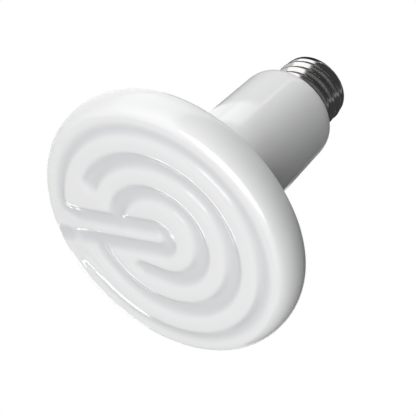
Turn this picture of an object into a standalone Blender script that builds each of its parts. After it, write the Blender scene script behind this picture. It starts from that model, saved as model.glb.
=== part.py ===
"""Ceramic heat emitter: a porcelain disc with a labyrinth relief on its face, a neck and a screw cap.

The emitter stands face down on the flat crests of its ridges. The origin is at the middle of them,
+Z runs along the neck to the centre contact, and -X is the side that the straight bar of the
labyrinth comes from. Lengths are in metres.
"""

import math

import bmesh
import bpy
from mathutils import Matrix, Vector
from mathutils.geometry import delaunay_2d_cdt

MM = 0.001
TURN = 2 * math.pi

# Gap between pieces that touch on the real object
CLEARANCE = 0.3 * MM

# Disc
DISC_RADIUS = 50.0 * MM
RIM_RETREAT = 1.0 * MM
RIM_FRONT_WIDTH = 4.5 * MM
RIM_FRONT_HEIGHT = 8.0 * MM
RIM_LAND_WIDTH = 0.6 * MM
RIM_BACK_WIDTH = 4.5 * MM
RIM_BACK_HEIGHT = 7.6 * MM
RIM_BACK_TURN = 48
BACK_EDGE_RADIUS = 1.2 * MM
BACK_SLOPE = math.radians(9)

# Labyrinth relief on the face
RING_PITCH = 12.5 * MM
GROOVE_DEPTH = 1.3 * MM
GROOVE_HALF_WIDTH = 3.6 * MM
GROOVE_FLATNESS = 1.6
RIM_LIP_WIDTH = 4.2 * MM
CORNER_BLEND = 1.2 * MM
BAR_SHIFT = 1.4 * MM
BAR_END = -1.2 * MM
BAR_GROOVE_OFFSET = 4.6 * MM
OUTER_GROOVE_END = 157
MIDDLE_GROOVE_END = -144
INNER_GROOVE_END = 100
INNER_GROOVE_TAIL = (-11.3 * MM, 15.0 * MM)

# Neck and shoulder
NECK_FILLET_RADIUS = 10.0 * MM
NECK_BASE_RADIUS = 20.3 * MM
NECK_TOP_RADIUS = 18.1 * MM
SHOULDER_WIDTH = 2.0 * MM
SHOULDER_HEIGHT = 5.3 * MM
BODY_HEIGHT = 81.7 * MM
SPIGOT_LENGTH = 6.5 * MM
BORE_RADIUS = 8.0 * MM
BORE_FLOOR = 19.0 * MM
EDGE_ROUND = 0.6 * MM

# Screw cap, an Edison screw of 26 mm
THREAD_RADIUS = 13.0 * MM
THREAD_PITCH = 3.62 * MM
THREAD_DEPTH = 1.0 * MM
THREAD_TURNS = 4.0
SHELL_WALL = 0.3 * MM
SKIRT_LENGTH = 1.2 * MM
SHELL_END_RADIUS = 2.2 * MM
SHELL_END_TURN = 80
CEMENT_WALL = 0.55 * MM
CEMENT_SLOT = math.radians(24)

# Insulator and centre contact
INSULATOR_DEPTH = 2.6 * MM
INSULATOR_CONE_HEIGHT = 3.2 * MM
CONTACT_RADIUS = 4.8 * MM
CONTACT_HEIGHT = 1.1 * MM
CONTACT_BEVEL = 0.4 * MM
SOLDER_RADIUS = 2.3 * MM
SOLDER_HEIGHT = 0.8 * MM
SOLDER_FLAT_RADIUS = 1.1 * MM

# Lead wires
WIRE_RADIUS = 0.4 * MM
LEAD_OFFSET = 2.6 * MM
LEAD_LOOP_HEIGHT = 3.0 * MM

# Mesh fineness
BODY_SIDES = 56
SHELL_SIDES = 32
SMALL_SIDES = 20
ROWS_PER_PITCH = 6
FACE_STEP = 4.2 * MM
TIGHT_BEND_SHARE = 0.4
FACE_MERGE = 0.3 * MM
RELIEF_LEVELS = (0.0, 0.32, 0.66, 1.0)
GROOVE_END_SPOKES = 14
MERGE = 0.001 * MM

# Derived places, from the face upwards
rim_land_outer = DISC_RADIUS - RIM_FRONT_WIDTH
rim_land_inner = rim_land_outer - RIM_LAND_WIDTH
widest = RIM_RETREAT + RIM_FRONT_HEIGHT
shoulder_start = BODY_HEIGHT - SHOULDER_HEIGHT
end_face_radius = NECK_TOP_RADIUS - SHOULDER_WIDTH
thread_mean_radius = THREAD_RADIUS - THREAD_DEPTH / 2
shell_root_inner = THREAD_RADIUS - THREAD_DEPTH - SHELL_WALL
cement_outer = shell_root_inner - CLEARANCE
cement_inner = cement_outer - CEMENT_WALL
spigot_radius = cement_inner - CLEARANCE
spigot_end = BODY_HEIGHT + SPIGOT_LENGTH
shell_start = BODY_HEIGHT + CLEARANCE
thread_start = shell_start + SKIRT_LENGTH
thread_end = thread_start + THREAD_TURNS * THREAD_PITCH
shell_end = thread_end + SHELL_END_RADIUS
lip_radius = thread_mean_radius - SHELL_END_RADIUS
insulator_start = shell_end - SHELL_WALL - INSULATOR_DEPTH
insulator_end = shell_end + INSULATOR_CONE_HEIGHT
contact_start = insulator_end + CLEARANCE
contact_end = contact_start + CONTACT_HEIGHT
solder_start = contact_end + CLEARANCE
solder_end = solder_start + SOLDER_HEIGHT
wire_hole_radius = WIRE_RADIUS + CLEARANCE

# Centre lines of the grooves: three rings, and one on each side of the bar
inner_groove_radius = BAR_GROOVE_OFFSET + RING_PITCH
middle_groove_radius = inner_groove_radius + RING_PITCH
outer_groove_radius = middle_groove_radius + RING_PITCH
bar_near_groove = BAR_SHIFT - BAR_GROOVE_OFFSET
bar_far_groove = BAR_SHIFT + BAR_GROOVE_OFFSET


def clear_scene():
    for obj in list(bpy.data.objects):
        bpy.data.objects.remove(obj, do_unlink=True)


def material(name, colour, roughness, metallic=0.0):
    made = bpy.data.materials.new(name)
    made.use_nodes = True
    shader = made.node_tree.nodes["Principled BSDF"]
    shader.inputs["Base Color"].default_value = (*colour, 1.0)
    shader.inputs["Roughness"].default_value = roughness
    shader.inputs["Metallic"].default_value = metallic
    return made


def add_object(name, bm, finish, sharp_angle=40):
    """One named object from a finished bmesh, its faces facing out and shaded smooth."""
    bmesh.ops.recalc_face_normals(bm, faces=bm.faces)
    mesh = bpy.data.meshes.new(name)
    bm.to_mesh(mesh)
    bm.free()
    mesh.shade_smooth()
    mesh.set_sharp_from_angle(angle=math.radians(sharp_angle))
    mesh.materials.append(finish)
    obj = bpy.data.objects.new(name, mesh)
    bpy.context.scene.collection.objects.link(obj)
    return obj


# Sections are lists of (radius, height), from which bodies are turned.


def quarter(centre, width, height, start, end, steps):
    """Points of an elliptical arc in the section, from one angle to the other in degrees."""
    points = []
    for i in range(steps + 1):
        angle = math.radians(start + (end - start) * i / steps)
        points.append((centre[0] + width * math.cos(angle), centre[1] + height * math.sin(angle)))
    return points


def fillet(before, corner, after, radius, steps):
    """Points of the arc that rounds a corner of the section and meets both its sides."""
    at = Vector(corner)
    side_a = (Vector(before) - at).normalized()
    side_b = (Vector(after) - at).normalized()
    half = side_a.angle(side_b) / 2
    reach = radius / math.tan(half)
    centre = at + (side_a + side_b).normalized() * radius / math.sin(half)
    start = at + side_a * reach - centre
    end = at + side_b * reach - centre
    sweep = start.angle_signed(end)
    points = []
    for i in range(steps + 1):
        turned = start.copy()
        turned.rotate(Matrix.Rotation(-sweep * i / steps, 2))
        points.append(tuple(centre + turned))
    return points


def turn(bm, section, sides, closed=True, angle=TURN):
    """Spins a section round Z. A closed section returns to its first point."""
    verts = [bm.verts.new((r, 0, z)) for r, z in section]
    pairs = list(zip(verts, verts[1:]))
    if closed:
        pairs.append((verts[-1], verts[0]))
    edges = [bm.edges.new(pair) for pair in pairs]
    full = angle == TURN
    bmesh.ops.spin(
        bm,
        geom=verts + edges,
        cent=(0, 0, 0),
        axis=(0, 0, 1),
        angle=angle,
        steps=sides,
        use_merge=full,
    )
    bmesh.ops.remove_doubles(bm, verts=bm.verts, dist=MERGE)


# Relief: a network of grooves, each an arc round Z or a straight line beside the bar.


class Arc:
    """A groove that follows a circle, round the axis or another centre, between two angles in degrees."""

    def __init__(self, radius, start, end, centre=(0, 0)):
        self.centre = Vector(centre)
        self.radius = radius
        self.start = math.radians(start)
        self.end = math.radians(end)

    def length(self):
        return self.radius * (self.end - self.start)

    def point(self, share, offset=0.0):
        angle = self.start + (self.end - self.start) * share
        reach = self.radius + offset
        return self.centre + Vector((reach * math.cos(angle), reach * math.sin(angle)))

    def distance(self, spot):
        middle = (self.start + self.end) / 2
        arm = spot - self.centre
        angle = math.atan2(arm.y, arm.x)
        angle += TURN * round((middle - angle) / TURN)
        if self.start <= angle <= self.end:
            return abs(arm.length - self.radius)
        return min((spot - self.point(0)).length, (spot - self.point(1)).length)


class Line:
    """A straight groove between two points."""

    def __init__(self, start, end):
        self.start = Vector(start)
        self.end = Vector(end)
        self.along = (self.end - self.start).normalized()
        self.across = Vector((-self.along.y, self.along.x))

    def length(self):
        return (self.end - self.start).length

    def point(self, share, offset=0.0):
        return self.start.lerp(self.end, share) + self.across * offset

    def distance(self, spot):
        reach = (spot - self.start).dot(self.along)
        reach = min(max(reach, 0.0), self.length())
        return (spot - self.start - self.along * reach).length


def bar_meeting(radius, height):
    """Angle from -X, in degrees, at which a ring reaches a groove beside the bar."""
    return math.degrees(math.asin(abs(height) / radius))


def labyrinth():
    """Four grooves, each a chain of arcs and lines. The three rings run into the one round the bar."""
    outer_start = bar_meeting(outer_groove_radius, bar_near_groove) - 180
    middle_end = 180 - bar_meeting(middle_groove_radius, bar_far_groove)
    inner_start = bar_meeting(inner_groove_radius, bar_near_groove) - 180
    inner_turn = math.radians(INNER_GROOVE_END)
    tail_start = (inner_groove_radius * math.cos(inner_turn), inner_groove_radius * math.sin(inner_turn))
    outer_ring = [Arc(outer_groove_radius, outer_start, OUTER_GROOVE_END)]
    middle_ring = [Arc(middle_groove_radius, MIDDLE_GROOVE_END, middle_end)]
    inner_ring = [
        Arc(inner_groove_radius, inner_start, INNER_GROOVE_END),
        Line(tail_start, INNER_GROOVE_TAIL),
    ]
    round_bar = [
        Line((-outer_groove_radius, bar_near_groove), (BAR_END, bar_near_groove)),
        Arc(BAR_GROOVE_OFFSET, -90, 90, centre=(BAR_END, BAR_SHIFT)),
        Line((BAR_END, bar_far_groove), (-outer_groove_radius, bar_far_groove)),
    ]
    return [outer_ring, middle_ring, inner_ring, round_bar]


def chain_distance(spot, chain):
    return min(piece.distance(spot) for piece in chain)


def groove_distance(spot, chains):
    """Distance to the nearest groove, blended where two meet, so that ridges have round corners."""
    near = [chain_distance(spot, chain) for chain in chains]
    least = min(near)
    total = sum(math.exp((least - one) / CORNER_BLEND) for one in near)
    return max(least - CORNER_BLEND * math.log(total), 0.0)


def bell(share):
    """One at a groove's centre line, falling smoothly to nothing."""
    return (1 + math.cos(math.pi * min(max(share, 0.0), 1.0))) / 2


def face_height(spot, chains):
    """Height above the ridges' crests: the depth of a groove, or of the lip that rises to the rim."""
    groove = GROOVE_DEPTH * bell((groove_distance(spot, chains) / GROOVE_HALF_WIDTH) ** GROOVE_FLATNESS)
    lip = bell((rim_land_inner - spot.length) / RIM_LIP_WIDTH)
    return groove * (1 - lip) + RIM_RETREAT * lip


def level_runs(chain, offset):
    """Runs of points at one distance from a groove, along both its sides and round its ends."""
    runs = []
    for piece in chain:
        bend = piece.radius if isinstance(piece, Arc) else DISC_RADIUS
        openness = min(1.0, bend / middle_groove_radius)
        step = FACE_STEP * (TIGHT_BEND_SHARE + (1 - TIGHT_BEND_SHARE) * openness)
        count = max(4, math.ceil(piece.length() / step))
        for side in (offset, -offset) if offset else (0.0,):
            runs.append([piece.point(i / count, side) for i in range(count + 1)])
        for share in (0, 1) if offset else ():
            end = piece.point(share)
            spokes = [Vector((math.cos(a), math.sin(a))) for a in end_angles()]
            runs.append([end + spoke * offset for spoke in spokes])
    return runs


def end_angles():
    """Directions round the rounded end of a groove."""
    return [TURN * i / GROOVE_END_SPOKES for i in range(GROOVE_END_SPOKES + 1)]


def face_patch(bm, chains):
    """The face inside the rim's land, filled between level lines so that its edges follow the ridges."""
    points = []
    edges = []
    taken = {}

    def index_of(spot):
        key = (round(spot.x / FACE_MERGE), round(spot.y / FACE_MERGE))
        if key not in taken:
            taken[key] = len(points)
            points.append(spot)
        return taken[key]

    for i in range(BODY_SIDES):
        angle = TURN * i / BODY_SIDES
        index_of(Vector((rim_land_inner * math.cos(angle), rim_land_inner * math.sin(angle))))
        edges.append((i, (i + 1) % BODY_SIDES))
    edge_margin = 2 * FACE_MERGE
    offsets = [level * GROOVE_HALF_WIDTH for level in RELIEF_LEVELS] + [RING_PITCH / 2]
    for offset in offsets:
        for chain in chains:
            for run in level_runs(chain, offset):
                last = None
                for spot in run:
                    least = min(chain_distance(spot, other) for other in chains)
                    if spot.length > rim_land_inner - edge_margin or least < offset - FACE_MERGE / 2:
                        last = None
                        continue
                    here = index_of(spot)
                    if last is not None and last != here:
                        edges.append((last, here))
                    last = here
    flat_verts, _, faces, _, _, _ = delaunay_2d_cdt(points, edges, [], 1, MERGE)
    made = []
    for place in flat_verts:
        inside = place.length < rim_land_inner - edge_margin
        height = face_height(place, chains) if inside else RIM_RETREAT
        made.append(bm.verts.new((place.x, place.y, height)))
    for face in faces:
        bm.faces.new([made[i] for i in face])


def ceramic_section():
    """Half of the turned outline, from the rim's land over the back and the neck to the bore's floor."""
    front_centre = (rim_land_outer, widest)
    back_centre = (DISC_RADIUS - RIM_BACK_WIDTH, widest)
    front = quarter(front_centre, RIM_FRONT_WIDTH, RIM_FRONT_HEIGHT, -90, 0, 6)
    back = quarter(back_centre, RIM_BACK_WIDTH, RIM_BACK_HEIGHT, 0, RIM_BACK_TURN, 3)
    back_edge = back[-1]
    back_rise = (back_edge[0] - NECK_BASE_RADIUS) * math.tan(BACK_SLOPE)
    neck_foot = (NECK_BASE_RADIUS, back_edge[1] + back_rise)
    neck_top = (NECK_TOP_RADIUS, shoulder_start)
    section = [(rim_land_inner, RIM_RETREAT)]
    section += front
    section += back[1:-1]
    section += fillet(back[-2], back_edge, neck_foot, BACK_EDGE_RADIUS, 2)
    section += fillet(back_edge, neck_foot, neck_top, NECK_FILLET_RADIUS, 4)
    section += quarter((end_face_radius, shoulder_start), SHOULDER_WIDTH, SHOULDER_HEIGHT, 0, 90, 5)
    section += [
        (spigot_radius, BODY_HEIGHT),
        (spigot_radius, spigot_end - EDGE_ROUND),
        (spigot_radius - EDGE_ROUND, spigot_end),
        (BORE_RADIUS + EDGE_ROUND, spigot_end),
        (BORE_RADIUS, spigot_end - EDGE_ROUND),
        (BORE_RADIUS, BORE_FLOOR),
        (0, BORE_FLOOR),
    ]
    return section


def make_ceramic_body(finish):
    """Cast in one piece round its heating wire: disc, labyrinth face, neck, shoulder and spigot."""
    bm = bmesh.new()
    turn(bm, ceramic_section(), BODY_SIDES, closed=False)
    face_patch(bm, labyrinth())
    bmesh.ops.remove_doubles(bm, verts=bm.verts, dist=MERGE)
    return add_object("ceramic_body", bm, finish, sharp_angle=50)


def thread_wave(angle, height):
    """How far the rolled thread moves the sheet out or in, fading over half a pitch at both ends."""
    inside = min(height - thread_start, thread_end - height) / (THREAD_PITCH / 2)
    fade = min(max(inside, 0.0), 1.0)
    phase = TURN * (height - thread_start) / THREAD_PITCH - angle
    return fade * THREAD_DEPTH / 2 * math.sin(phase)


def shell_section():
    """Outer side of the sheet from its lower edge up, then its inner side back down."""
    rows = round(THREAD_TURNS * ROWS_PER_PITCH)
    step = (thread_end - thread_start) / rows
    heights = [shell_start] + [thread_start + step * i for i in range(rows + 1)]
    outer = [(thread_mean_radius, z) for z in heights]
    outer += quarter((lip_radius, thread_end), SHELL_END_RADIUS, SHELL_END_RADIUS, 0, SHELL_END_TURN, 4)[1:]
    bend = SHELL_END_RADIUS - SHELL_WALL
    inner = [(thread_mean_radius - SHELL_WALL, z) for z in heights]
    inner += quarter((lip_radius, thread_end), bend, bend, 0, SHELL_END_TURN, 4)[1:]
    return outer + inner[::-1]


def make_screw_shell(finish):
    """Drawn from sheet, with the thread rolled into both of its sides."""
    bm = bmesh.new()
    turn(bm, shell_section(), SHELL_SIDES)
    for vert in bm.verts:
        x, y, z = vert.co
        reach = math.hypot(x, y)
        moved = (reach + thread_wave(math.atan2(y, x), z)) / reach
        vert.co.x *= moved
        vert.co.y *= moved
    return add_object("screw_shell", bm, finish, sharp_angle=60)


def make_cement_ring(finish):
    """Fixes the shell on the spigot, with a slot for the lead that the shell holds."""
    bottom = shell_start
    top = spigot_end - EDGE_ROUND - CLEARANCE
    section = [(cement_outer, bottom), (cement_outer, top), (cement_inner, top), (cement_inner, bottom)]
    bm = bmesh.new()
    sweep = TURN - CEMENT_SLOT
    turn(bm, section, SHELL_SIDES, angle=sweep)
    open_edges = [edge for edge in bm.edges if edge.is_boundary]
    bmesh.ops.holes_fill(bm, edges=open_edges, sides=len(section))
    half_slot = Matrix.Rotation(CEMENT_SLOT / 2, 3, "Z")
    bmesh.ops.rotate(bm, cent=(0, 0, 0), matrix=half_slot, verts=bm.verts)
    return add_object("cement_ring", bm, finish)


def make_insulator(finish):
    """Glass run into the end of the shell: a disc inside, a waist in the lip and a cone outside."""
    inside_radius = thread_mean_radius - SHELL_WALL - THREAD_DEPTH / 2 - CLEARANCE
    bend = SHELL_END_RADIUS - SHELL_WALL - CLEARANCE
    lip_edge = lip_radius + (SHELL_END_RADIUS - SHELL_WALL) * math.cos(math.radians(SHELL_END_TURN))
    waist = lip_edge - CLEARANCE
    cone_foot = shell_end + CLEARANCE
    under_bend = quarter((lip_radius, thread_end), bend, bend, 0, SHELL_END_TURN, 4)
    section = [
        (wire_hole_radius, insulator_start),
        (inside_radius, insulator_start),
        (inside_radius, thread_end),
    ]
    section += [point for point in under_bend if point[0] < inside_radius]
    section += [
        (waist, cone_foot),
        (CONTACT_RADIUS + EDGE_ROUND, insulator_end - EDGE_ROUND),
        (CONTACT_RADIUS, insulator_end),
        (wire_hole_radius, insulator_end),
    ]
    bm = bmesh.new()
    turn(bm, section, SHELL_SIDES)
    return add_object("cap_insulator", bm, finish)


def make_centre_contact(finish):
    """A pressed disc with a hole for the lead."""
    section = [
        (wire_hole_radius, contact_start),
        (CONTACT_RADIUS, contact_start),
        (CONTACT_RADIUS, contact_end - CONTACT_BEVEL),
        (CONTACT_RADIUS - CONTACT_BEVEL, contact_end),
        (wire_hole_radius, contact_end),
    ]
    bm = bmesh.new()
    turn(bm, section, SMALL_SIDES)
    return add_object("centre_contact", bm, finish)


def make_centre_solder(finish):
    """A low dome of solder over the end of the lead, flattened where the socket's spring presses."""
    dome = quarter(
        (SOLDER_FLAT_RADIUS, solder_start), SOLDER_RADIUS - SOLDER_FLAT_RADIUS, SOLDER_HEIGHT, 0, 90, 3
    )
    bm = bmesh.new()
    turn(bm, [(0, solder_start)] + dome + [(0, solder_end)], SMALL_SIDES, closed=False)
    return add_object("centre_solder", bm, finish)


def make_lead(name, route, finish):
    """A bare wire along a route, its bends rounded by the points given."""
    curve = bpy.data.curves.new(name, "CURVE")
    curve.dimensions = "3D"
    curve.bevel_depth = WIRE_RADIUS
    curve.bevel_resolution = 1
    curve.use_fill_caps = True
    spline = curve.splines.new("POLY")
    spline.points.add(len(route) - 1)
    for point, place in zip(spline.points, route):
        point.co = (*place, 1.0)
    curve.materials.append(finish)
    obj = bpy.data.objects.new(name, curve)
    bpy.context.scene.collection.objects.link(obj)
    return obj


def live_route():
    """Up the bore, across to the axis and through the insulator and the contact."""
    across = insulator_start - CLEARANCE
    route = [(-LEAD_OFFSET, 0, BORE_FLOOR + CLEARANCE), (-LEAD_OFFSET, 0, spigot_end)]
    steps = 6
    for i in range(1, steps + 1):
        share = i / steps
        route.append((-LEAD_OFFSET * bell(share), 0, spigot_end + (across - spigot_end) * share))
    route.append((0, 0, contact_end))
    return route


def neutral_route():
    """Up the bore, over the rim of the spigot and down the slot beside the shell."""
    outer = (spigot_radius + shell_root_inner) / 2
    bend = (outer - LEAD_OFFSET) / 2
    middle = LEAD_OFFSET + bend
    route = [(LEAD_OFFSET, 0, BORE_FLOOR + CLEARANCE), (LEAD_OFFSET, 0, spigot_end)]
    steps = 10
    for i in range(1, steps + 1):
        angle = math.pi * (1 - i / steps)
        route.append((middle + bend * math.cos(angle), 0, spigot_end + LEAD_LOOP_HEIGHT * math.sin(angle)))
    route.append((outer, 0, shell_start + SKIRT_LENGTH))
    return route


def main():
    clear_scene()
    porcelain = material("glazed_porcelain", (0.86, 0.86, 0.87), 0.12)
    cement = material("fixing_cement", (0.62, 0.60, 0.56), 0.9)
    nickel = material("nickel_plated_brass", (0.66, 0.65, 0.63), 0.18, metallic=1.0)
    glass = material("black_cap_glass", (0.015, 0.015, 0.018), 0.15)
    brass = material("contact_brass", (0.80, 0.62, 0.30), 0.3, metallic=1.0)
    solder = material("solder", (0.60, 0.60, 0.61), 0.35, metallic=1.0)
    wire = material("nickel_wire", (0.55, 0.54, 0.52), 0.4, metallic=1.0)
    make_ceramic_body(porcelain)
    make_screw_shell(nickel)
    make_cement_ring(cement)
    make_insulator(glass)
    make_centre_contact(brass)
    make_centre_solder(solder)
    make_lead("live_lead", live_route(), wire)
    make_lead("neutral_lead", neutral_route(), wire)


main()
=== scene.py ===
# %% [markdown]
# # A ceramic heat emitter
# A white porcelain disc with a labyrinth of ridges on its face, a tapered neck, and a nickel-plated
# screw cap. It screws into a lamp holder like a bulb and gives heat instead of light. The heating
# wire is cast into the ridges, which is why they wind to and fro in one unbroken path.
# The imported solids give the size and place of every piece. This script gives them their looks.

import math

import bmesh
import bpy
from mathutils import Matrix, Vector


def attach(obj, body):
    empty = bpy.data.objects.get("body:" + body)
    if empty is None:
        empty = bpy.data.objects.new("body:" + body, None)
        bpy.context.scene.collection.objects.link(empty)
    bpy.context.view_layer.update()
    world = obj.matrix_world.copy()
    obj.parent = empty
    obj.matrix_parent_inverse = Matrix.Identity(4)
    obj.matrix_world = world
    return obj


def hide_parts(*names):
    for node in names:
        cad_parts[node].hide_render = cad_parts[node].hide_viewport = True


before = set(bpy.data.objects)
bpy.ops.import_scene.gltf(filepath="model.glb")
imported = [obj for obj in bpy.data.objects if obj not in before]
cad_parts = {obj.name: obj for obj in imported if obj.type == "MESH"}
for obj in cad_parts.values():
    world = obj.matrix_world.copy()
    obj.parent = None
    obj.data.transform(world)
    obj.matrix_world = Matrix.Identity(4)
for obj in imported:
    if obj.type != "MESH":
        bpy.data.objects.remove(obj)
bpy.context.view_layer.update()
print("solids:", sorted(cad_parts))

# %% [markdown]
# ## Helpers
# Lengths are given in millimetres and turned to metres by one factor. Colours are written as the hex
# values that a paint program shows, and one function turns them to the linear values that the shader
# works with. Another adds a node with its settings and links, so that each material below reads as
# a list of steps.

# %% Units, colours and nodes
MM = 0.001
TURN = 2 * math.pi


def linear(hex_colour):
    """The linear colour of an sRGB hex value such as "F4F4F2"."""
    parts = [int(hex_colour[i:i + 2], 16) / 255 for i in (0, 2, 4)]
    return tuple(p / 12.92 if p <= 0.04045 else ((p + 0.055) / 1.055) ** 2.4 for p in parts) + (1.0,)


def add_node(tree, kind, settings=None, inputs=None):
    """A node of that kind. An input is a value, or an output socket to link from."""
    node = tree.nodes.new(kind)
    for name, value in (settings or {}).items():
        setattr(node, name, value)
    for name, value in (inputs or {}).items():
        if isinstance(value, bpy.types.NodeSocket):
            tree.links.new(value, node.inputs[name])
        else:
            node.inputs[name].default_value = value
    return node


def new_material(name):
    """An empty node material, its tree and its output."""
    material = bpy.data.materials.new(name)
    material.use_nodes = True
    tree = material.node_tree
    tree.nodes.clear()
    output = tree.nodes.new("ShaderNodeOutputMaterial")
    return material, tree, output


print("white glaze is", [round(v, 3) for v in linear("F6F6F5")[:3]], "in linear light")

# %% [markdown]
# ## Camera
# The photograph looks at the face from below, 52.5 degrees off the axis of the neck, with a long
# lens, so the rings of the face stay even. The camera stands 0.7 m away and is rolled until the neck
# points up and to the right. A long lens from further off would flatten the disc, and a short one
# close by would swell it.

# %% Camera
CAMERA_PLACE = Vector((425.51, -356.86, -425.13)) * MM
CAMERA_AIM = Vector((-0.53, 6.52, 27.46)) * MM
CAMERA_ROLL = math.radians(45.83)
CAMERA_LENS = 182.48

camera_data = bpy.data.cameras.new("camera")
camera_data.lens = CAMERA_LENS
camera_data.sensor_width = 36
camera_data.clip_start = 0.01
camera = bpy.data.objects.new("camera", camera_data)
bpy.context.scene.collection.objects.link(camera)
camera_turn = (CAMERA_AIM - CAMERA_PLACE).to_track_quat("-Z", "Y").to_matrix()
camera_turn = camera_turn @ Matrix.Rotation(CAMERA_ROLL, 3, "Z")
camera.matrix_world = Matrix.Translation(CAMERA_PLACE) @ camera_turn.to_4x4()
bpy.context.scene.camera = camera
print("camera stands", round(CAMERA_PLACE.length, 3), "m from the face")

# %% [markdown]
# ## Stage
# The emitter stands on its face on a pale floor. The photograph looks up from below, so the floor is
# made one-sided: from above it is a plain pale sheet that keeps the shadow, and from below it is
# clear. It is also kept out of the light's way, or the face, which lies on it, would be black. The
# paper is lit from behind a little, so that it stays pale out to its far edge.

# %% Floor
FLOOR_HALF_WIDTH = 3.0
FLOOR_DROP = 0.05 * MM
FLOOR_BACKLIGHT = 0.5


def make_floor_finish():
    """Matt pale paper from above and clear from below."""
    material, tree, output = new_material("pale_paper_floor")
    sheet = add_node(tree, "ShaderNodeBsdfDiffuse", inputs={"Color": linear("EDEDEB")})
    backlight = add_node(tree, "ShaderNodeEmission", inputs={
        "Color": linear("EDEDEB"), "Strength": FLOOR_BACKLIGHT,
    })
    paper = add_node(tree, "ShaderNodeAddShader", inputs={
        0: sheet.outputs["BSDF"], 1: backlight.outputs["Emission"],
    })
    clear = add_node(tree, "ShaderNodeBsdfTransparent")
    side = add_node(tree, "ShaderNodeNewGeometry")
    one_sided = add_node(tree, "ShaderNodeMixShader", inputs={
        0: side.outputs["Backfacing"],
        1: paper.outputs["Shader"],
        2: clear.outputs["BSDF"],
    })
    tree.links.new(one_sided.outputs["Shader"], output.inputs["Surface"])
    return material


floor_shape = bmesh.new()
bmesh.ops.create_grid(floor_shape, x_segments=1, y_segments=1, size=FLOOR_HALF_WIDTH)
bmesh.ops.translate(floor_shape, vec=(0, 0, -FLOOR_DROP), verts=floor_shape.verts)
floor_mesh = bpy.data.meshes.new("floor")
floor_shape.to_mesh(floor_mesh)
floor_shape.free()
floor_mesh.materials.append(make_floor_finish())
floor = bpy.data.objects.new("floor", floor_mesh)
bpy.context.scene.collection.objects.link(floor)
floor.visible_diffuse = False
floor.visible_glossy = False
floor.visible_transmission = False
floor.visible_shadow = False
print("floor is", round(floor.dimensions.x, 1), "m wide")

# %% [markdown]
# A glazed or plated surface is only as good as what it mirrors. Screens stand round the emitter that
# only reflections see, so they take no light from the porcelain and give it none. A dark one to the
# right, with a grey strip before it, gives the cap its deep greys, and a bright one to the left gives
# it white bands. A small dark flag over the cap parts those bands with the dark line of each thread,
# and a small dark skirt below it keeps the bright screens out of the threads' undersides.
# A bright screen behind draws a thin line along every ridge that turns away from the camera, and a
# bright one near the camera draws the white line along the rim. Lamps could do all this, but they
# would also light the grooves from the side.

# %% Screens
SCREEN_REACH = 1.6
SCREEN_ROWS = 12
SCREEN_COLUMNS = 24
DARK_CLOTH = "48494B"
WHITE_CLOTH = "FFFFFF"


def add_screen(name, colour, strength, azimuths, elevations, reach=SCREEN_REACH, centre=(0, 0, 0)):
    """Part of a dome that only reflections see, spun from an arc between two elevations in degrees."""
    start, end = [math.radians(a) for a in azimuths]
    low, high = [math.radians(e) for e in elevations]
    shape = bmesh.new()
    rail = []
    for i in range(SCREEN_ROWS + 1):
        lift = low + (high - low) * i / SCREEN_ROWS
        out = reach * math.cos(lift)
        corner = (out * math.cos(start), out * math.sin(start), reach * math.sin(lift))
        rail.append(shape.verts.new(corner))
    edges = [shape.edges.new(pair) for pair in zip(rail, rail[1:])]
    bmesh.ops.spin(
        shape, geom=rail + edges, cent=(0, 0, 0), axis=(0, 0, 1), angle=end - start,
        steps=SCREEN_COLUMNS, use_merge=False,
    )
    bmesh.ops.translate(shape, vec=centre, verts=shape.verts)
    mesh = bpy.data.meshes.new(name)
    shape.to_mesh(mesh)
    shape.free()
    material, tree, output = new_material(name + "_cloth")
    cloth = add_node(tree, "ShaderNodeEmission", inputs={"Color": linear(colour), "Strength": strength})
    tree.links.new(cloth.outputs["Emission"], output.inputs["Surface"])
    mesh.materials.append(material)
    screen = bpy.data.objects.new(name, mesh)
    bpy.context.scene.collection.objects.link(screen)
    screen.visible_camera = False
    screen.visible_diffuse = False
    screen.visible_shadow = False
    screen.visible_transmission = False
    return screen


screens = [
    add_screen("dark_screen", DARK_CLOTH, 1.0, (-88, 110), (-38, 88)),
    add_screen("grey_screen", "9A9B9D", 1.0, (22, 32), (-38, 88), reach=1.5),
    add_screen("key_screen", WHITE_CLOTH, 1.9, (-140, -92), (-35, 50)),
    add_screen("back_screen", WHITE_CLOTH, 7.0, (133.5, 146), (-17, -4)),
    add_screen("near_screen", WHITE_CLOTH, 6.0, (-90, 15), (-82, -35)),
    add_screen("cap_flag", "303133", 1.0, (100, 272), (9, 86), reach=0.07, centre=(0, 0, 100 * MM)),
    add_screen("cap_skirt", "6C6D6F", 1.0, (-84, 60), (-75, -20), reach=0.05, centre=(0, 0, 90 * MM)),
]
print("screens:", [screen.name for screen in screens])

# %% [markdown]
# The world is white to the camera, to reflections and through glass, and a dim grey to everything
# else. Five soft lamps do the lighting: a key to the left that shades the neck round to the dark
# right side, one straight below the face, so that the ridges' crests are its brightest part, a weak
# one to the right for the rim, one above for the back of the disc, and one behind for the side that
# the photograph hides. All but the one below stand about level with the disc or above it, which
# keeps most of their light off the face. One strong lamp would be simpler, but it would burn out the
# white glaze.

# %% World and lamps
ROOM_LIGHT = 0.05
LIT_POINT = Vector((0, 0, 40 * MM))

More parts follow.
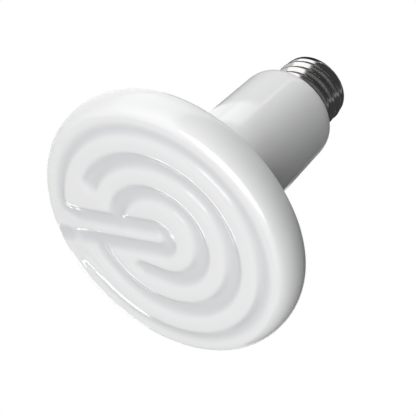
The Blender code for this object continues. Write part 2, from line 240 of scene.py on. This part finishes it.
world = bpy.data.worlds.new("studio")
bpy.context.scene.world = world
world.use_nodes = True
world.node_tree.nodes.clear()
path = add_node(world.node_tree, "ShaderNodeLightPath")
seen = add_node(world.node_tree, "ShaderNodeMath", {"operation": "MAXIMUM"}, {
    0: path.outputs["Is Camera Ray"],
    1: path.outputs["Is Glossy Ray"],
})
seen = add_node(world.node_tree, "ShaderNodeMath", {"operation": "MAXIMUM"}, {
    0: seen.outputs["Value"],
    1: path.outputs["Is Transmission Ray"],
})
dim = add_node(world.node_tree, "ShaderNodeBackground", inputs={
    "Color": linear("FFFFFF"), "Strength": ROOM_LIGHT,
})
white = add_node(world.node_tree, "ShaderNodeBackground", inputs={
    "Color": linear("FFFFFF"), "Strength": 1.0,
})
sky = add_node(world.node_tree, "ShaderNodeMixShader", inputs={
    0: seen.outputs["Value"],
    1: dim.outputs["Background"],
    2: white.outputs["Background"],
})
add_node(world.node_tree, "ShaderNodeOutputWorld", inputs={"Surface": sky.outputs["Shader"]})


def add_lamp(name, azimuth, elevation, distance, width, height, power):
    """A soft rectangular lamp that faces the middle of the emitter. The angles are in degrees, the
    distance and the lamp's size in metres and the power in watts."""
    data = bpy.data.lights.new(name, "AREA")
    data.shape = "RECTANGLE"
    data.size = width
    data.size_y = height
    data.energy = power
    lamp = bpy.data.objects.new(name, data)
    bpy.context.scene.collection.objects.link(lamp)
    turn = math.radians(azimuth)
    lift = math.radians(elevation)
    away = Vector((math.cos(lift) * math.cos(turn), math.cos(lift) * math.sin(turn), math.sin(lift)))
    lamp.location = LIT_POINT + away * distance
    lamp.rotation_euler = (-away).to_track_quat("-Z", "Y").to_euler()
    lamp.visible_camera = False
    lamp.visible_glossy = False
    return lamp


lamps = [
    add_lamp("key", -103, -3, 1.3, 1.6, 1.3, 14.2),
    add_lamp("under", 0, -68, 1.3, 1.2, 1.2, 16.3),
    add_lamp("right", -15, 8, 1.5, 1.4, 1.0, 1.2),
    add_lamp("top", -110, 60, 1.5, 1.0, 1.0, 11),
    add_lamp("back", 165, 22, 1.5, 1.0, 1.0, 9),
]
bpy.context.scene.view_settings.view_transform = "Standard"
print("lamps:", [lamp.name for lamp in lamps])

# %% [markdown]
# ## The labyrinth
# On the real emitter the coil of resistance wire lies inside the ridges, and the grooves between
# them let the clay shrink evenly in the kiln. The relief could be sculpted or cut out with booleans.
# Here it is a height for every point of the face, worked out from the distance to the nearest groove,
# which gives the same soft flanks everywhere and rounds the corners where grooves meet.

# %% Sizes of the face
DISC_RADIUS = 50.0 * MM
RIM_RETREAT = 1.0 * MM
RIM_FRONT_WIDTH = 4.5 * MM
RIM_FRONT_HEIGHT = 8.0 * MM
RIM_LAND_WIDTH = 0.6 * MM
RIM_LIP_WIDTH = 4.2 * MM
RIM_LIP_WIDEST = 10.0 * MM
RIM_LIP_WIDENING = 2.0
RING_PITCH = 12.5 * MM
GROOVE_DEPTH = 1.3 * MM
GROOVE_HALF_WIDTH = 3.6 * MM
GROOVE_FLATNESS = 1.6
CORNER_BLEND = 0.5 * MM
CORNER_BEND = 5.5 * MM
NOTCH_DEPTH = 0.2 * MM
CREST_ROUNDING = 0.3
# How far from a groove's centre line the grooves are darkened: glaze that pools there, and painted
# shade.
POOL_AND_SHADE_REACH = 4.2 * MM
BAR_SHIFT = 1.4 * MM
BAR_WIDTH = 12.0 * MM
BAR_RUN_OUT = 20.0 * MM
BAR_END = -1.2 * MM
BAR_GROOVE_OFFSET = 4.6 * MM
OUTER_GROOVE_END = 154
OUTER_GROOVE_RUN_OUT = 9.0 * MM
MIDDLE_GROOVE_END = -144
INNER_GROOVE_END = 100
INNER_GROOVE_TAIL = (-11.3 * MM, 15.0 * MM)

rim_land_outer = DISC_RADIUS - RIM_FRONT_WIDTH
rim_land_inner = rim_land_outer - RIM_LAND_WIDTH
widest = RIM_RETREAT + RIM_FRONT_HEIGHT
inner_groove_radius = BAR_GROOVE_OFFSET + RING_PITCH
middle_groove_radius = inner_groove_radius + RING_PITCH
outer_groove_radius = middle_groove_radius + RING_PITCH
bar_near_groove = BAR_SHIFT - BAR_GROOVE_OFFSET
bar_far_groove = BAR_SHIFT + BAR_GROOVE_OFFSET
groove_radii = (inner_groove_radius, middle_groove_radius, outer_groove_radius)
print("groove radii in mm:", [round(radius / MM, 1) for radius in groove_radii])

# %% Distance from a groove
def arc_groove(radius, start, end, centre=(0, 0), run_out=0.0):
    """A groove round a centre, as a function that gives a point's distance from it. It can run out
    over a length before its end, where it seems up to half its width farther off than it is."""
    centre = Vector(centre)
    start = math.radians(start)
    end = math.radians(end)
    middle = (start + end) / 2
    ends = [centre + Vector((radius * math.cos(a), radius * math.sin(a))) for a in (start, end)]

    def distance(spot):
        arm = spot - centre
        angle = math.atan2(arm.y, arm.x)
        angle += TURN * round((middle - angle) / TURN)
        left = (end - angle) * radius
        faded = GROOVE_HALF_WIDTH / 2 * (1 - min(max(left / run_out, 0.0), 1.0)) if run_out else 0.0
        if start <= angle <= end:
            return abs(arm.length - radius) + faded
        return min((spot - tip).length for tip in ends) + faded

    return distance


def straight_groove(start, end):
    """A groove between two points, as a function that gives a point's distance from it."""
    start = Vector(start)
    along = Vector(end) - start
    length = along.length
    along.normalize()

    def distance(spot):
        reach = min(max((spot - start).dot(along), 0.0), length)
        return (spot - start - along * reach).length

    return distance


from_axis = arc_groove(outer_groove_radius, 0, 90)(Vector((0, 0)))
print("the axis is", round(from_axis / MM, 1), "mm from the outer groove")

# %% [markdown]
# Four grooves shape the ridges. The outer one starts in a bend beside the bar, runs almost all the
# way round and fades out at its free end. The middle one starts free and opens into the groove beyond
# the bar. The inner one starts beside the bar and ends in a short straight tail. The fourth runs down
# one side of the bar, round its end and back up the other side. Each is a list of arcs and lines.

# %% Centre lines of the four grooves
def bar_meeting(radius, height):
    """Angle from -X, in degrees, at which a ring reaches a groove beside the bar."""
    return math.degrees(math.asin(abs(height) / radius))


bend_height = bar_near_groove - CORNER_BEND
bend_start = -math.sqrt((outer_groove_radius - CORNER_BEND) ** 2 - bend_height ** 2)
outer_start = bar_meeting(outer_groove_radius - CORNER_BEND, bend_height) - 180
middle_end = 180 - bar_meeting(middle_groove_radius, bar_far_groove)
inner_start = bar_meeting(inner_groove_radius, bar_near_groove) - 180
inner_turn = math.radians(INNER_GROOVE_END)
tail_start = (inner_groove_radius * math.cos(inner_turn), inner_groove_radius * math.sin(inner_turn))
grooves = [
    [
        arc_groove(outer_groove_radius, outer_start, OUTER_GROOVE_END, run_out=OUTER_GROOVE_RUN_OUT),
        arc_groove(CORNER_BEND, 90, 360 + outer_start, centre=(bend_start, bend_height)),
    ],
    [arc_groove(middle_groove_radius, MIDDLE_GROOVE_END, middle_end)],
    [
        arc_groove(inner_groove_radius, inner_start, INNER_GROOVE_END),
        straight_groove(tail_start, INNER_GROOVE_TAIL),
    ],
    [
        straight_groove((bend_start, bar_near_groove), (BAR_END, bar_near_groove)),
        arc_groove(BAR_GROOVE_OFFSET, -90, 90, centre=(BAR_END, BAR_SHIFT)),
        straight_groove((BAR_END, bar_far_groove), (-outer_groove_radius, bar_far_groove)),
    ],
]
print("grooves:", len(grooves), "of", [len(groove) for groove in grooves], "arcs and lines")

# %% [markdown]
# Real grooves are cast with round bottoms and soft shoulders, so a point's depth is a smooth curve of
# its distance from the nearest groove. Distances from two grooves are blended, which rounds the corner
# where they meet. At the edge of the face the relief gives way to the rim, over a short lip where a
# groove runs along the rim, and over a long one on the bar, whose end slopes down to it. The same
# distance also says how much the grooves are darkened. Part of this is liquid glaze that gathers where
# the face is low, and part is painted shade, which stands in for the shade that falls in the grooves.

# %% Height of the face
def groove_distance(spot):
    """Distance to the nearest groove, blended where two meet so that ridge corners are round."""
    near = [min(piece(spot) for piece in groove) for groove in grooves]
    least = min(near)
    total = sum(math.exp((least - one) / CORNER_BLEND) for one in near)
    return max(least - CORNER_BLEND * math.log(total), 0.0)


def bell(share):
    """One at a groove's centre line, falling smoothly to nothing."""
    return (1 + math.cos(math.pi * min(max(share, 0.0), 1.0))) / 2


def trough(away):
    """Depth of a groove, as a share of its full depth, at a distance from its centre line."""
    return bell((away / GROOVE_HALF_WIDTH) ** GROOVE_FLATNESS)


def pool_and_shade_share(away):
    """How much the grooves are darkened at a distance from a groove's centre line, from 0 to 1: glaze
    that pools there, and painted shade.
    """
    return bell((away / POOL_AND_SHADE_REACH) ** 2)


rim_notch = straight_groove(
    (-outer_groove_radius, bar_far_groove), (-2 * outer_groove_radius, bar_far_groove)
)


def lip_width(spot):
    """How far the rim's lip reaches in: wider where no groove runs along it, widest on the bar."""
    beyond = max(min(piece(spot) for piece in grooves[0]) - GROOVE_HALF_WIDTH, 0.0)
    width = min(RIM_LIP_WIDTH + RIM_LIP_WIDENING * beyond, RIM_LIP_WIDEST)
    on_bar = bell(abs(spot.y - BAR_SHIFT) / (BAR_WIDTH / 2)) if spot.x < 0 else 0.0
    return max(width, RIM_LIP_WIDTH + (BAR_RUN_OUT - RIM_LIP_WIDTH) * on_bar)


def face_height(spot):
    """Height above the ridges' crests, and how much the point is darkened, from 0 to 1: glaze that
    pools in the grooves, and painted shade.
    """
    away = groove_distance(spot)
    depth = (1 - CREST_ROUNDING) * trough(away) + CREST_ROUNDING * bell(away / (RING_PITCH / 2))
    lip = bell((rim_land_inner - spot.length) / lip_width(spot))
    notch = NOTCH_DEPTH * trough(rim_notch(spot))
    # The grooves and the rim's notch are darkened: partly glaze that pools there, partly painted shade.
    pool_and_shade = pool_and_shade_share(away) * (1 - lip) + pool_and_shade_share(rim_notch(spot)) * lip
    return GROOVE_DEPTH * depth * (1 - lip) + (RIM_RETREAT + notch) * lip, pool_and_shade


print("bar stands", round(GROOVE_DEPTH / MM, 1), "mm above the grooves beside it")

# %% [markdown]
# ## Porcelain body
# Disc, neck, shoulder and the spigot under the cap are one casting, so they are one piece here. Its
# outline is drawn once as half a section and spun round the axis, as a potter's wheel would. The face
# is spun flat with close rings, and then each of its points is lifted to the height of the relief.

# %% Sizes of the body
RIM_BACK_WIDTH = 4.5 * MM
RIM_BACK_HEIGHT = 7.6 * MM
RIM_BACK_TURN = 48
BACK_EDGE_RADIUS = 1.2 * MM
BACK_SLOPE = math.radians(9)
NECK_FILLET_RADIUS = 10.0 * MM
NECK_BASE_RADIUS = 20.3 * MM
NECK_TOP_RADIUS = 18.1 * MM
SHOULDER_WIDTH = 2.0 * MM
SHOULDER_HEIGHT = 5.3 * MM
BODY_HEIGHT = 81.7 * MM
SPIGOT_RADIUS = 10.55 * MM
SPIGOT_LENGTH = 6.5 * MM
BORE_RADIUS = 8.0 * MM
BORE_FLOOR = 19.0 * MM
EDGE_ROUND = 0.6 * MM
FACE_RINGS = 112

print("the porcelain is", round((BODY_HEIGHT + SPIGOT_LENGTH) / MM, 1), "mm tall with its spigot")

# %% Arcs, fillets and straight sides of a section
def quarter(centre, width, height, start, end, steps):
    """Points of an elliptical arc in the section, from one angle to the other in degrees."""
    points = []
    for i in range(steps + 1):
        angle = math.radians(start + (end - start) * i / steps)
        points.append((centre[0] + width * math.cos(angle), centre[1] + height * math.sin(angle)))
    return points


def fillet(before, corner, after, radius, steps):
    """Points of the arc that rounds a corner of the section and meets both its sides."""
    at = Vector(corner)
    side_a = (Vector(before) - at).normalized()
    side_b = (Vector(after) - at).normalized()
    half = side_a.angle(side_b) / 2
    centre = at + (side_a + side_b).normalized() * radius / math.sin(half)
    start = at + side_a * radius / math.tan(half) - centre
    end = at + side_b * radius / math.tan(half) - centre
    sweep = start.angle_signed(end)
    points = []
    for i in range(steps + 1):
        turned = start.copy()
        turned.rotate(Matrix.Rotation(-sweep * i / steps, 2))
        points.append(tuple(centre + turned))
    return points


def evenly(start, end, steps):
    """Points on a straight side of the section, without its ends."""
    share = [i / steps for i in range(1, steps)]
    return [(start[0] + (end[0] - start[0]) * s, start[1] + (end[1] - start[1]) * s) for s in share]


print("a quarter in 6 steps has", len(quarter((0, 0), 1, 1, 0, 90, 6)), "points")

# %% Section of the body
def body_section():
    """From the centre of the face out over the rim, up the neck and down into the bore."""
    face = [(rim_land_inner * i / FACE_RINGS, RIM_RETREAT) for i in range(FACE_RINGS + 1)]
    front = quarter((rim_land_outer, widest), RIM_FRONT_WIDTH, RIM_FRONT_HEIGHT, -90, 0, 20)
    back_centre = (DISC_RADIUS - RIM_BACK_WIDTH, widest)
    back = quarter(back_centre, RIM_BACK_WIDTH, RIM_BACK_HEIGHT, 0, RIM_BACK_TURN, 9)
    back_edge = back[-1]
    back_rise = (back_edge[0] - NECK_BASE_RADIUS) * math.tan(BACK_SLOPE)
    neck_foot = (NECK_BASE_RADIUS, back_edge[1] + back_rise)
    neck_top = (NECK_TOP_RADIUS, BODY_HEIGHT - SHOULDER_HEIGHT)
    edge = fillet(back[-3], back_edge, neck_foot, BACK_EDGE_RADIUS, 6)
    foot = fillet(back_edge, neck_foot, neck_top, NECK_FILLET_RADIUS, 10)
    shoulder_centre = (NECK_TOP_RADIUS - SHOULDER_WIDTH, neck_top[1])
    shoulder = quarter(shoulder_centre, SHOULDER_WIDTH, SHOULDER_HEIGHT, 0, 90, 12)
    spigot_end = BODY_HEIGHT + SPIGOT_LENGTH
    mouth = [
        (SPIGOT_RADIUS, BODY_HEIGHT),
        (SPIGOT_RADIUS, spigot_end - EDGE_ROUND),
        (SPIGOT_RADIUS - EDGE_ROUND, spigot_end),
        (BORE_RADIUS + EDGE_ROUND, spigot_end),
        (BORE_RADIUS, spigot_end - EDGE_ROUND),
        (BORE_RADIUS, BORE_FLOOR),
        (0.0, BORE_FLOOR),
    ]
    section = face + front + back[1:-2] + edge
    section += evenly(edge[-1], foot[0], 6) + foot + evenly(foot[-1], neck_top, 8)
    return section + shoulder + mouth


print("the section has", len(body_section()), "points")

# %% Spin a section and finish a piece
MERGE_DISTANCE = 0.001 * MM


def spun(section, columns):
    """A bmesh turned from a section, closed on the axis or round a ring, with its faces outward."""
    shape = bmesh.new()
    verts = [shape.verts.new((radius, 0, height)) for radius, height in section]
    pairs = list(zip(verts, verts[1:]))
    if section[0][0] > 0 and section[-1][0] > 0:
        pairs.append((verts[-1], verts[0]))
    edges = [shape.edges.new(pair) for pair in pairs]
    bmesh.ops.spin(
        shape, geom=verts + edges, cent=(0, 0, 0), axis=(0, 0, 1), angle=TURN,
        steps=columns, use_merge=True,
    )
    bmesh.ops.remove_doubles(shape, verts=shape.verts, dist=MERGE_DISTANCE)
    bmesh.ops.recalc_face_normals(shape, faces=shape.faces)
    return shape


def finished(name, shape, finish, replaced, sharp_angle=60):
    """The piece as an object on the emitter, in place of the plain solid."""
    mesh = bpy.data.meshes.new(name)
    shape.to_mesh(mesh)
    shape.free()
    mesh.shade_smooth()
    mesh.set_sharp_from_angle(angle=math.radians(sharp_angle))
    mesh.materials.append(finish)
    piece = bpy.data.objects.new(name, mesh)
    bpy.context.scene.collection.objects.link(piece)
    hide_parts(replaced)
    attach(piece, "root")
    triangles = sum(len(face.vertices) - 2 for face in mesh.polygons)
    size = [round(length / MM, 1) for length in piece.dimensions]
    print(name, "has", triangles, "triangles and measures", size, "mm")
    return piece


print("spun pieces merge points closer than", MERGE_DISTANCE / MM, "mm")

# %% Spin the body and lift its face
BODY_COLUMNS = 400


def make_body_shape():
    """The spun body with the labyrinth raised on its face, and the darkening of its grooves (glaze that
    pools there and painted shade) kept for its finish.
    """
    shape = spun(body_section(), BODY_COLUMNS)
    pool_and_shade = shape.verts.layers.float.new("glaze_pool_and_groove_shade")
    # Each point keeps how much it is darkened: glaze that pools in the grooves and notch, and painted
    # shade.
    for vert in shape.verts:
        spot = Vector((vert.co.x, vert.co.y))
        if vert.co.z < widest and spot.length > rim_land_inner:
            fade = (widest - vert.co.z) / RIM_FRONT_HEIGHT
            vert.co.z += fade * NOTCH_DEPTH * trough(rim_notch(spot))
            vert[pool_and_shade] = fade * pool_and_shade_share(rim_notch(spot))
        elif vert.co.z < widest:
            vert.co.z, vert[pool_and_shade] = face_height(spot)
    return shape


print("the face has", FACE_RINGS, "rings of", BODY_COLUMNS, "points")

# %% [markdown]
# ### Glaze
# The body is pressed porcelain, dipped in a clear white glaze and fired. The glaze is a thin layer of
# glass: it gives sharp reflections over a soft white body, runs off the edges and gathers in the
# grooves, where it looks a little cooler. The grooves are also painted a darker, cooler grey as
# shade, deeper than the gathered glaze alone would give. The shader is one Principled node with the
# index of refraction of glass, and its roughness and bump change slowly over centimetres, as a fired
# surface does. An image texture could do this too, but it would need unwrapping and could show its
# seams.

# %% Glazed porcelain
GLAZE_WAVE = 14 * MM
GLAZE_MOTTLE = 30 * MM
# Share of the way to the darker grey in the grooves: glaze that pools there, and painted shade.
POOL_AND_SHADE_TINT = 0.75


def make_glazed_porcelain():
    """Clear glass over white clay: sharp highlights on an even, soft white."""
    material, tree, output = new_material("white_glazed_porcelain")
    place = add_node(tree, "ShaderNodeTexCoord")
    mottle = add_node(tree, "ShaderNodeTexNoise", inputs={
        "Vector": place.outputs["Object"], "Scale": 1 / GLAZE_MOTTLE, "Detail": 2.0,
    })
    body = add_node(tree, "ShaderNodeMix", {"data_type": "RGBA"}, {
        0: mottle.outputs["Fac"], 6: linear("F6F6F5"), 7: linear("F1F2F3"),
    })
    # Painted shade: the grooves and the notch turn towards a darker, cooler grey, partly glaze that
    # pools there and partly shade painted into the colour.
    pool_and_shade = add_node(tree, "ShaderNodeAttribute", {"attribute_name": "glaze_pool_and_groove_shade"})
    pool_and_shade_amount = add_node(tree, "ShaderNodeMath", {"operation": "MULTIPLY"}, {
        0: pool_and_shade.outputs["Fac"], 1: POOL_AND_SHADE_TINT,
    })
    colour = add_node(tree, "ShaderNodeMix", {"data_type": "RGBA"}, {
        0: pool_and_shade_amount.outputs["Value"], 6: body.outputs[2], 7: linear("D2D4D7"),
    })
    gloss = add_node(tree, "ShaderNodeMapRange", inputs={
        "Value": mottle.outputs["Fac"], "To Min": 0.07, "To Max": 0.13,
    })
    wave = add_node(tree, "ShaderNodeTexNoise", inputs={
        "Vector": place.outputs["Object"], "Scale": 1 / GLAZE_WAVE, "Detail": 1.0,
    })
    bump = add_node(tree, "ShaderNodeBump", inputs={
        "Height": wave.outputs["Fac"], "Strength": 0.25, "Distance": 0.25 * MM,
    })
    shader = add_node(tree, "ShaderNodeBsdfPrincipled", inputs={
        "Base Color": colour.outputs[2], "Roughness": gloss.outputs["Result"], "IOR": 1.5,
        "Normal": bump.outputs["Normal"],
    })
    tree.links.new(shader.outputs["BSDF"], output.inputs["Surface"])
    return material


glazed_porcelain = make_glazed_porcelain()
body = finished("porcelain_body", make_body_shape(), glazed_porcelain,
                "ceramic_body", 50)

# %% [markdown]
# ## Screw shell
# The shell is drawn from thin brass sheet like a cup, and the knuckle thread is rolled into it
# afterwards, so the thread shows inside and outside. It is made in the same order here: a cup is spun
# from its section, and then each point is moved in or out by a wave that climbs one pitch a turn.
# Sweeping a thread profile along a helix would need its ends cut off and closed.

# %% Spin the shell and roll its thread
THREAD_RADIUS = 13.0 * MM
THREAD_PITCH = 3.62 * MM
THREAD_DEPTH = 1.0 * MM
THREAD_TURNS = 4.0
SHELL_WALL = 0.3 * MM
SKIRT_LENGTH = 1.2 * MM
SHELL_END_RADIUS = 2.2 * MM
SHELL_END_TURN = 80
SHELL_ROWS = 88
CLEARANCE = 0.3 * MM

thread_mean_radius = THREAD_RADIUS - THREAD_DEPTH / 2
shell_start = BODY_HEIGHT + CLEARANCE
thread_start = shell_start + SKIRT_LENGTH
thread_end = thread_start + THREAD_TURNS * THREAD_PITCH
shell_end = thread_end + SHELL_END_RADIUS
lip_radius = thread_mean_radius - SHELL_END_RADIUS


def thread_wave(angle, height):
    """How far the rolled thread moves the sheet, fading over half a pitch at both ends."""
    inside = min(height - thread_start, thread_end - height) / (THREAD_PITCH / 2)
    fade = min(max(inside, 0.0), 1.0)
    phase = TURN * (height - thread_start) / THREAD_PITCH - angle
    return fade * THREAD_DEPTH / 2 * math.sin(phase)


def shell_side(inset):
    """One side of the sheet, from the open edge to the turned-in end."""
    reach = thread_mean_radius - inset
    side = [(reach, shell_start), (reach, shell_start + SKIRT_LENGTH / 2)]
    for i in range(SHELL_ROWS + 1):
        side.append((reach, thread_start + (thread_end - thread_start) * i / SHELL_ROWS))
    bend = SHELL_END_RADIUS - inset
    return side + quarter((lip_radius, thread_end), bend, bend, 0, SHELL_END_TURN, 12)[1:]


def make_shell_shape():
    shape = spun(shell_side(0.0) + shell_side(SHELL_WALL)[::-1], 144)
    for vert in shape.verts:
        reach = math.hypot(vert.co.x, vert.co.y)
        moved = (reach + thread_wave(math.atan2(vert.co.y, vert.co.x), vert.co.z)) / reach
        vert.co.x *= moved
        vert.co.y *= moved
    return shape


print("the thread has", THREAD_TURNS, "turns of", round(THREAD_PITCH / MM, 2), "mm")

# %% [markdown]
# ### Nickel plating
# Cap shells are brass with a thin bright nickel plate. Nickel is a little warmer than chrome, and the
# rolling leaves faint lines round the shell. They are about 0.1 mm apart and are drawn at 0.3 mm, so
# that they show at all. Their only work is to soften reflections along the thread.

# %% Nickel-plated brass
ROLLING_LINE = 0.3 * MM
ROLLING_STRETCH = 0.06
PLATING_CLOUD = 7 * MM


def make_nickel_plate():
    """Bright plate on rolled sheet: nearly a mirror, a little softer along the thread."""
    material, tree, output = new_material("bright_nickel_plate_on_rolled_brass")
    place = add_node(tree, "ShaderNodeTexCoord")
    along = add_node(tree, "ShaderNodeMapping", inputs={
        "Vector": place.outputs["Object"], "Scale": (ROLLING_STRETCH, ROLLING_STRETCH, 1.0),
    })
    lines = add_node(tree, "ShaderNodeTexNoise", inputs={
        "Vector": along.outputs["Vector"], "Scale": 1 / ROLLING_LINE, "Detail": 2.0,
    })
    stain = add_node(tree, "ShaderNodeTexNoise", inputs={
        "Vector": place.outputs["Object"], "Scale": 1 / PLATING_CLOUD, "Detail": 3.0,
    })
    colour = add_node(tree, "ShaderNodeMix", {"data_type": "RGBA"}, {
        0: stain.outputs["Fac"], 6: linear("C8C7C5"), 7: linear("B5B4B2"),
    })
    gloss = add_node(tree, "ShaderNodeMapRange", inputs={
        "Value": lines.outputs["Fac"], "To Min": 0.12, "To Max": 0.2,
    })
    bump = add_node(tree, "ShaderNodeBump", inputs={
        "Height": lines.outputs["Fac"], "Strength": 0.05, "Distance": 0.02 * MM,
    })
    shader = add_node(tree, "ShaderNodeBsdfPrincipled", inputs={
        "Base Color": colour.outputs[2], "Metallic": 1.0, "Roughness": gloss.outputs["Result"],
        "Normal": bump.outputs["Normal"],
    })
    tree.links.new(shader.outputs["BSDF"], output.inputs["Surface"])
    return material


shell = finished("threaded_cap_shell", make_shell_shape(), make_nickel_plate(),
                 "screw_shell")

# %% [markdown]
# ## Insulator, contact and solder
# The end of the cap is black glass, run in hot around a pressed brass contact, so its surface is
# smooth and slightly wavy. The lead comes up through the contact and is closed with a drop of solder,
# which sets with a skin that is duller than the metal around it.

# %% Shapes of the cap's end
INSULATOR_DEPTH = 2.6 * MM
INSULATOR_CONE_HEIGHT = 3.2 * MM
CONTACT_RADIUS = 4.8 * MM
CONTACT_HEIGHT = 1.1 * MM
CONTACT_BEVEL = 0.4 * MM
SOLDER_RADIUS = 2.3 * MM
SOLDER_HEIGHT = 0.8 * MM
SOLDER_FLAT_RADIUS = 1.1 * MM
WIRE_RADIUS = 0.4 * MM

wire_hole = WIRE_RADIUS + CLEARANCE
insulator_start = shell_end - SHELL_WALL - INSULATOR_DEPTH
insulator_end = shell_end + INSULATOR_CONE_HEIGHT
contact_start = insulator_end + CLEARANCE
contact_end = contact_start + CONTACT_HEIGHT
solder_start = contact_end + CLEARANCE
solder_end = solder_start + SOLDER_HEIGHT


def insulator_section():
    """A disc inside the shell, a waist in its lip and a hollow-sided cone outside."""
    inside = thread_mean_radius - SHELL_WALL - THREAD_DEPTH / 2 - CLEARANCE
    bend = SHELL_END_RADIUS - SHELL_WALL - CLEARANCE
    end_turn = math.radians(SHELL_END_TURN)
    waist = lip_radius + (SHELL_END_RADIUS - SHELL_WALL) * math.cos(end_turn) - CLEARANCE
    foot = (waist, shell_end + CLEARANCE)
    brow = (CONTACT_RADIUS + EDGE_ROUND, insulator_end - EDGE_ROUND)
    section = [(wire_hole, insulator_start), (inside, insulator_start), (inside, thread_end)]
    turned_in = quarter((lip_radius, thread_end), bend, bend, 0, SHELL_END_TURN, 12)
    section += [point for point in turned_in if point[0] < inside]
    section += [foot] + evenly(foot, brow, 6) + [brow]
    section += [(CONTACT_RADIUS + EDGE_ROUND * 0.4, insulator_end - EDGE_ROUND * 0.15)]
    return section + [(CONTACT_RADIUS, insulator_end), (wire_hole, insulator_end)]


def contact_section():
    """A pressed disc with rounded shoulders and a hole for the lead."""
    rounding = quarter((CONTACT_RADIUS - CONTACT_BEVEL, contact_end - CONTACT_BEVEL),
                       CONTACT_BEVEL, CONTACT_BEVEL, 0, 90, 6)
    under = [(wire_hole, contact_start), (CONTACT_RADIUS, contact_start)]
    return under + rounding + [(wire_hole, contact_end)]


def solder_section():
    """A low dome with a small flat, worn by the holder's spring."""
    width = SOLDER_RADIUS - SOLDER_FLAT_RADIUS
    dome = quarter((SOLDER_FLAT_RADIUS, solder_start), width, SOLDER_HEIGHT, 0, 90, 10)
    return [(0.0, solder_start)] + dome + [(0.0, solder_end)]


print("the cap ends", round(solder_end / MM, 2), "mm above the ridges' crests")

# %% Black cap glass
GLASS_WAVE = 3 * MM


def make_cap_glass():
    """Black glass as it cooled: deep black with slightly wavy highlights."""
    material, tree, output = new_material("black_run_in_glass")
    place = add_node(tree, "ShaderNodeTexCoord")
    wave = add_node(tree, "ShaderNodeTexNoise", inputs={
        "Vector": place.outputs["Object"], "Scale": 1 / GLASS_WAVE, "Detail": 1.0,
    })
    colour = add_node(tree, "ShaderNodeMix", {"data_type": "RGBA"}, {
        0: wave.outputs["Fac"], 6: linear("17171A"), 7: linear("24232A"),
    })
    bump = add_node(tree, "ShaderNodeBump", inputs={
        "Height": wave.outputs["Fac"], "Strength": 0.3, "Distance": 0.15 * MM,
    })
    shader = add_node(tree, "ShaderNodeBsdfPrincipled", inputs={
        "Base Color": colour.outputs[2], "Roughness": 0.12, "IOR": 1.52,
        "Normal": bump.outputs["Normal"],
    })
    tree.links.new(shader.outputs["BSDF"], output.inputs["Surface"])
    return material


cap_glass = make_cap_glass()
print("made", cap_glass.name)

# %% Contact brass and solder
def make_worn_metal(name, light, dark, grain, smooth, rough):
    """Bare metal that is worn or set unevenly: its colour and gloss change from grain to grain."""
    material, tree, output = new_material(name)
    place = add_node(tree, "ShaderNodeTexCoord")
    grains = add_node(tree, "ShaderNodeTexNoise", inputs={
        "Vector": place.outputs["Object"], "Scale": 1 / grain, "Detail": 3.0,
    })
    colour = add_node(tree, "ShaderNodeMix", {"data_type": "RGBA"}, {
        0: grains.outputs["Fac"], 6: linear(light), 7: linear(dark),
    })
    gloss = add_node(tree, "ShaderNodeMapRange", inputs={
        "Value": grains.outputs["Fac"], "To Min": smooth, "To Max": rough,
    })
    bump = add_node(tree, "ShaderNodeBump", inputs={
        "Height": grains.outputs["Fac"], "Strength": 0.3, "Distance": grain / 20,
    })
    shader = add_node(tree, "ShaderNodeBsdfPrincipled", inputs={
        "Base Color": colour.outputs[2], "Metallic": 1.0, "Roughness": gloss.outputs["Result"],
        "Normal": bump.outputs["Normal"],
    })
    tree.links.new(shader.outputs["BSDF"], output.inputs["Surface"])
    return material


contact_brass = make_worn_metal("pressed_contact_brass", "D9B878", "C29C5C", 1.5 * MM, 0.2, 0.35)
solder_tin = make_worn_metal("set_tin_solder", "B9B9B6", "98989A", 0.8 * MM, 0.28, 0.5)
print("made", contact_brass.name, "and", solder_tin.name)

# %% Pieces of the cap's end
insulator = finished("cap_glass_insulator", spun(insulator_section(), 96), cap_glass,
                     "cap_insulator", 40)
contact = finished("contact_plate", spun(contact_section(), 72), contact_brass,
                   "centre_contact", 40)
solder = finished("solder_drop", spun(solder_section(), 48), solder_tin, "centre_solder", 40)

# %% [markdown]
# ## Cement and leads
# Inside the cap a ring of cement holds the shell on the spigot, and two bare nickel wires come up the
# bore from the heating coil. They are hidden, so the plain solids stay and only get their finishes: a
# matt gritty one for the cement and a drawn one for the wires.

# %% Cement
CEMENT_GRIT = 0.6 * MM


def make_cement():
    """Set cement: matt, pale and gritty, with no highlight."""
    material, tree, output = new_material("set_fixing_cement")
    place = add_node(tree, "ShaderNodeTexCoord")
    grit = add_node(tree, "ShaderNodeTexNoise", inputs={
        "Vector": place.outputs["Object"], "Scale": 1 / CEMENT_GRIT, "Detail": 4.0,
    })
    colour = add_node(tree, "ShaderNodeMix", {"data_type": "RGBA"}, {
        0: grit.outputs["Fac"], 6: linear("D2CEC4"), 7: linear("B3AEA3"),
    })
    bump = add_node(tree, "ShaderNodeBump", inputs={
        "Height": grit.outputs["Fac"], "Strength": 0.6, "Distance": 0.1 * MM,
    })
    shader = add_node(tree, "ShaderNodeBsdfPrincipled", inputs={
        "Base Color": colour.outputs[2], "Roughness": 0.9, "Normal": bump.outputs["Normal"],
    })
    tree.links.new(shader.outputs["BSDF"], output.inputs["Surface"])
    return material


cement = make_cement()
print("made", cement.name)

# %% Finishes of the hidden pieces
def dress(node, finish):
    """The solid keeps its shape and takes a better finish."""
    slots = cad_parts[node].data.materials
    slots.clear()
    slots.append(finish)


lead_wire = make_worn_metal("drawn_nickel_wire", "B0ADA6", "95928C", 0.5 * MM, 0.25, 0.45)
dress("cement_ring", cement)
dress("live_lead", lead_wire)
dress("neutral_lead", lead_wire)
print("dressed: cement_ring, live_lead, neutral_lead")
